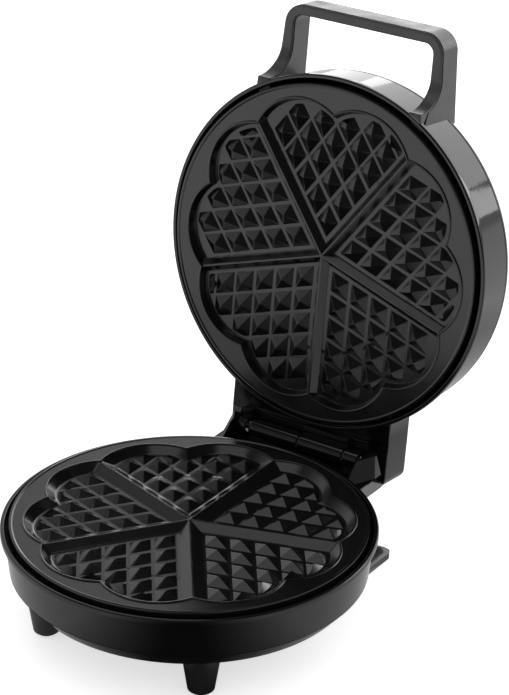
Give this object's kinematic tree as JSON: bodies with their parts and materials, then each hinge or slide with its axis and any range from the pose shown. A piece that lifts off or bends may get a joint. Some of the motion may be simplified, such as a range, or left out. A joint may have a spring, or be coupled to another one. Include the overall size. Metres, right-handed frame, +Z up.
{
  "type": "waffle maker",
  "caption": "Round hinged waffle maker standing open, with heart-pattern plates in the base and lid, a loop handle on the lid, tapered front feet and a rear cord-wrap stand.",
  "frame": {"origin": "on the table, under the middle of the open object's box", "axes": "+Z up, -Y towards the user, +Y towards the hinge, X along the hinge pin"},
  "size_m": [0.21, 0.292, 0.304],
  "materials": {
    "casing_gloss": "high gloss black moulding",
    "foot_gloss": "gloss black moulding",
    "foot_rubber": "matt black rubber",
    "plate_nonstick": "die cast, semi-gloss black non-stick coating",
    "heater_steel": "oxidised steel sheath",
    "shield_steel": "bright aluminised sheet",
    "screw_steel": "zinc plated",
    "pin_steel": "ground steel",
    "handle_satin": "dark grey satin moulding",
    "control_plastic": "heat resistant moulding",
    "fuse_sleeve": "woven glass sleeve",
    "wire_silicone": "silicone insulation",
    "gland_rubber": "matt black",
    "lamp_red": "translucent red",
    "lamp_green": "translucent green"
  },
  "bodies": {
    "base": {"base_shell": "casing_gloss", "base_bottom_cover": "casing_gloss", "cord_wrap": "casing_gloss", "front_left_foot": "foot_gloss", "front_right_foot": "foot_gloss", "foot_pads": "foot_rubber", "lower_plate": "plate_nonstick", "lower_heater": "heater_steel", "lower_heater_clips": "heater_steel", "lower_heat_shield": "shield_steel", "bottom_cover_screws": "screw_steel", "lower_plate_screws": "screw_steel", "foot_screws": "screw_steel", "cord_wrap_screws": "screw_steel", "hinge_pin": "pin_steel", "thermostat": "control_plastic", "terminal_block": "control_plastic", "thermal_fuse": "fuse_sleeve", "base_wires": "wire_silicone", "cord_gland": "gland_rubber"},
    "lid": {"lid_shell": "casing_gloss", "lid_cover": "casing_gloss", "lid_cover_screws": "screw_steel", "upper_plate": "plate_nonstick", "upper_plate_screws": "screw_steel", "upper_heater": "heater_steel", "upper_heater_clips": "heater_steel", "upper_heat_shield": "shield_steel", "handle_grip": "handle_satin", "handle_strip": "handle_satin", "handle_screws": "screw_steel", "power_lamp_lens": "lamp_red", "ready_lamp_lens": "lamp_green", "lamp_board": "control_plastic"}
  },
  "joints": [
    {"name": "lid_hinge", "type": "hinge", "parent": "base", "child": "lid", "pos_m": [0, 0.07395, 0.0578], "axis": [1, 0, 0], "range_deg": [0, 96.2]}
  ]
}
